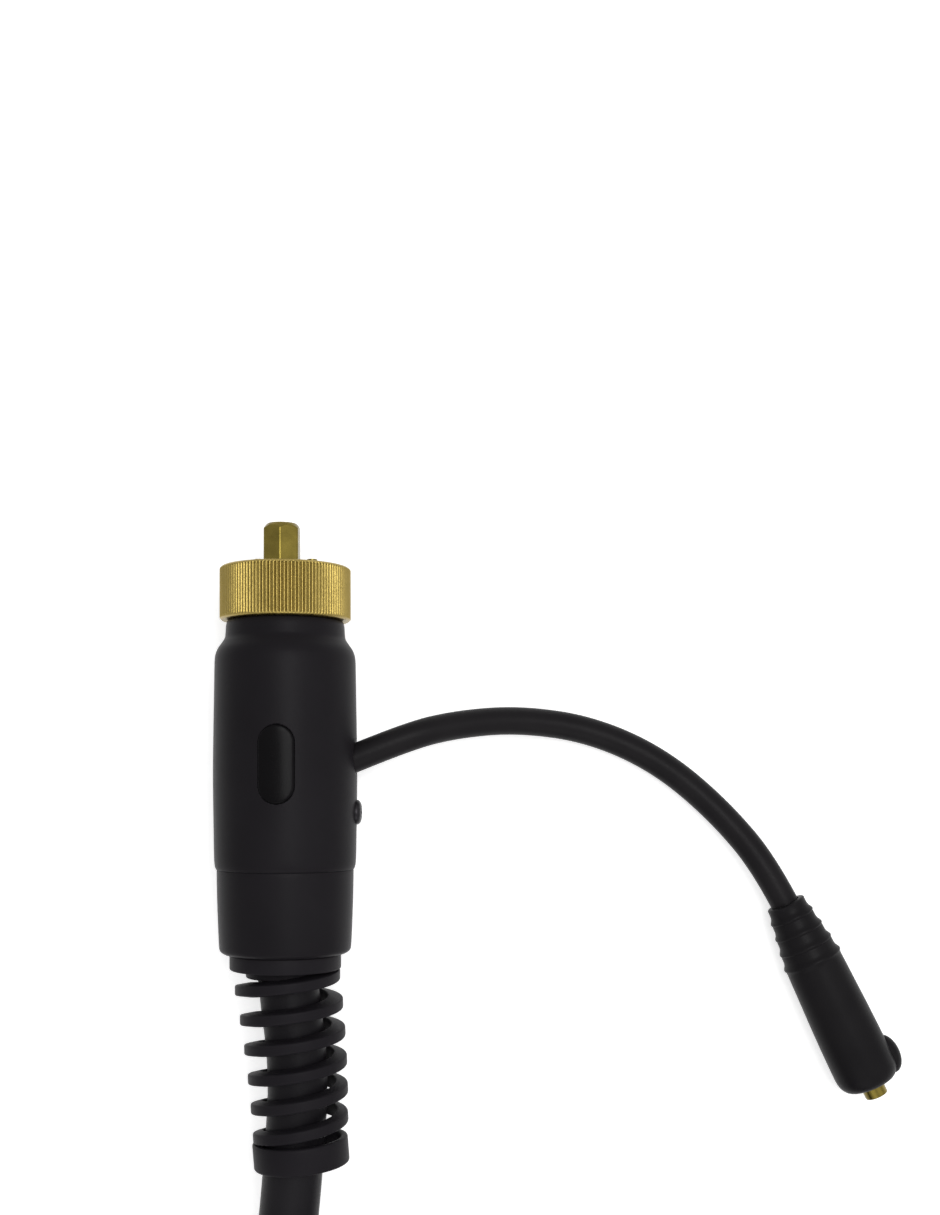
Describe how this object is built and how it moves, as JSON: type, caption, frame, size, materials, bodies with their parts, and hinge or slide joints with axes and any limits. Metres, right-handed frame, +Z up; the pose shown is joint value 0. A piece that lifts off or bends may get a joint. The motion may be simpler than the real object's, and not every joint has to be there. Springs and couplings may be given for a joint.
{
  "type": "tig torch",
  "caption": "TIG torch with its lead: knurled union-nut machine connector, helical strain relief, side pigtail with bayonet plug, coiled lead and a handpiece with gas cup.",
  "frame": {"origin": "on the connector's axis at its mating face", "axes": "+Y out of the mating face along the connector's axis, +Z up from the bench, +X to the side where the pigtail leaves"},
  "size_m": [0.3326, 0.8233, 0.0555],
  "materials": {
    "insulator": "moulded, black",
    "contact_brass": "turned, satin",
    "nut_brass": "turned and knurled, satin",
    "spring_steel": "drawn wire and punched washer",
    "housing": "moulded, black, fine grain",
    "tab": "moulded, black, glossy",
    "screw_steel": "blackened",
    "hose": "smooth",
    "copper": "stranded or turned copper",
    "relief_rubber": "moulded, black, matt",
    "plug_rubber": "moulded, black",
    "cable": "extruded, black, satin",
    "lead_jacket": "extruded, black, satin",
    "handle": "moulded, black, fine grain",
    "head": "moulded phenolic, black",
    "tungsten": "ground",
    "gasket": "white sealing ring",
    "ceramic": "fired alumina, rose"
  },
  "bodies": {
    "root": {"face_insulator": "insulator", "contact_tube": "contact_brass", "gas_nipple": "contact_brass", "contact_sleeve_left": "contact_brass", "contact_sleeve_right": "contact_brass", "contact_spring_left": "spring_steel", "contact_spring_right": "spring_steel", "tab_spring": "spring_steel", "housing_shell": "housing", "rear_sleeve": "housing", "housing_screw": "screw_steel", "cable_clamp": "insulator", "current_block": "contact_brass", "gas_hose": "hose", "power_conductor": "copper", "control_wires": "hose", "strain_relief": "relief_rubber", "pigtail_core": "copper", "plug_sleeve": "plug_rubber", "plug_pin": "contact_brass", "pigtail_cable": "cable", "lead_end": "lead_jacket", "lead_run": "lead_jacket", "lead_coil": "lead_jacket", "lead_tail": "lead_jacket", "hand_boot": "relief_rubber", "handle_shell_upper": "handle", "handle_shell_lower": "handle", "handle_screws": "screw_steel", "microswitch": "tab", "switch_wires": "hose", "hand_hose": "hose", "torch_head": "head", "collet_body": "copper", "electrode": "tungsten", "cup_gasket": "gasket"},
    "slip_ring": {"slip_ring": "spring_steel"},
    "union_nut": {"union_nut": "nut_brass"},
    "contact_pin_left": {"contact_pin_left": "contact_brass"},
    "contact_pin_right": {"contact_pin_right": "contact_brass"},
    "release_tab": {"release_tab": "tab"},
    "trigger": {"trigger_button": "tab"},
    "gas_cup": {"gas_cup": "ceramic"},
    "back_cap": {"back_cap": "head"}
  },
  "joints": [
    {"name": "nut_slide", "type": "slide", "parent": "root", "child": "slip_ring", "axis": [0, 1, 0], "range_m": [0, 0.007]},
    {"name": "nut_spin", "type": "hinge", "parent": "slip_ring", "child": "union_nut", "pos_m": [0, 0, 0], "axis": [0, 1, 0], "continuous": true},
    {"name": "contact_press_left", "type": "slide", "parent": "root", "child": "contact_pin_left", "axis": [0, -1, 0], "range_m": [0, 0.003], "stiffness_N_per_m": 350, "springref_m": -0.002, "deforming": ["contact_spring_left"]},
    {"name": "contact_press_right", "type": "slide", "parent": "root", "child": "contact_pin_right", "axis": [0, -1, 0], "range_m": [0, 0.003], "stiffness_N_per_m": 350, "springref_m": -0.002, "deforming": ["contact_spring_right"]},
    {"name": "tab_press", "type": "slide", "parent": "root", "child": "release_tab", "axis": [0, 0, -1], "range_m": [0, 0.0012], "stiffness_N_per_m": 1500, "springref_m": -0.002, "deforming": ["tab_spring"]},
    {"name": "trigger_press", "type": "slide", "parent": "root", "child": "trigger", "axis": [0.7431, 0.6691, 0], "range_m": [0, 0.0018], "stiffness_N_per_m": 800, "springref_m": -0.002},
    {"name": "cup_spin", "type": "hinge", "parent": "root", "child": "gas_cup", "pos_m": [0.16627, -0.77911, -0.012], "axis": [0.9272, 0.3746, 0], "continuous": true},
    {"name": "cap_spin", "type": "hinge", "parent": "root", "child": "back_cap", "pos_m": [0.16627, -0.77911, -0.012], "axis": [0.9272, 0.3746, 0], "continuous": true}
  ]
}
